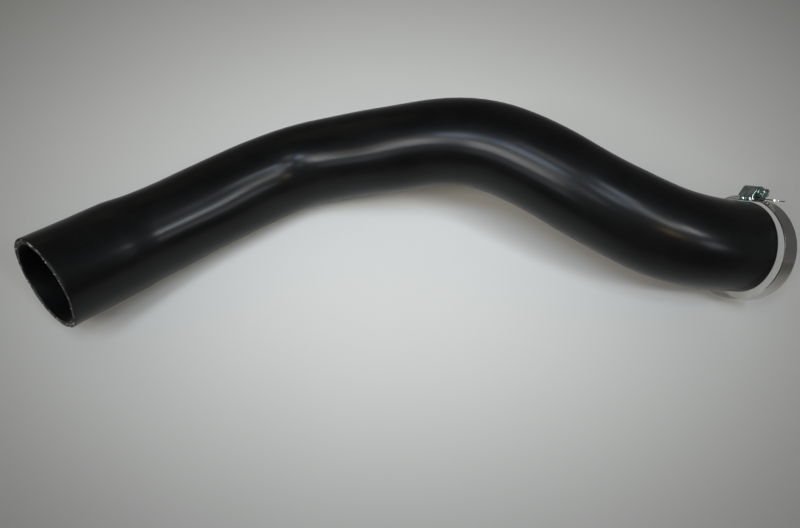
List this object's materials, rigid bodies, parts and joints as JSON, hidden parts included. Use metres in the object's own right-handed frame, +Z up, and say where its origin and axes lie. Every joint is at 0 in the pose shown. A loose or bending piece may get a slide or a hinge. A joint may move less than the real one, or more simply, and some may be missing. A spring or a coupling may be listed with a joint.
{
  "type": "turbocharger hose",
  "caption": "Moulded rubber turbocharger hose with an S-shaped bend, and a loose worm-drive clamp round its outlet end.",
  "frame": {"origin": "on the ground, under the middle of the box round the hose and its clamp", "axes": "+X along the hose's length from the wide cuff to the clamped outlet, +Y away from the viewer of the picture, +Z up"},
  "size_m": [0.5496, 0.189, 0.1071],
  "materials": {
    "black_rubber": "moulded black rubber with a satin sheen, pale reinforcing fibres in the cut ends",
    "polished_steel": "bright rolled stainless strip, lightly drawn along its length",
    "zinc_plate": "bright zinc plate with a faint green tint"
  },
  "bodies": {
    "hose_and_clamp": {"hose": "black_rubber", "clamp_band": "polished_steel", "clamp_housing": "zinc_plate"},
    "screw": {"clamp_screw": "zinc_plate"}
  },
  "joints": [
    {"name": "screw_turn", "type": "hinge", "parent": "hose_and_clamp", "child": "screw", "pos_m": [0.25877, 0.00025, 0.06879], "axis": [0.3769, -0.6893, 0.6187], "continuous": true}
  ]
}
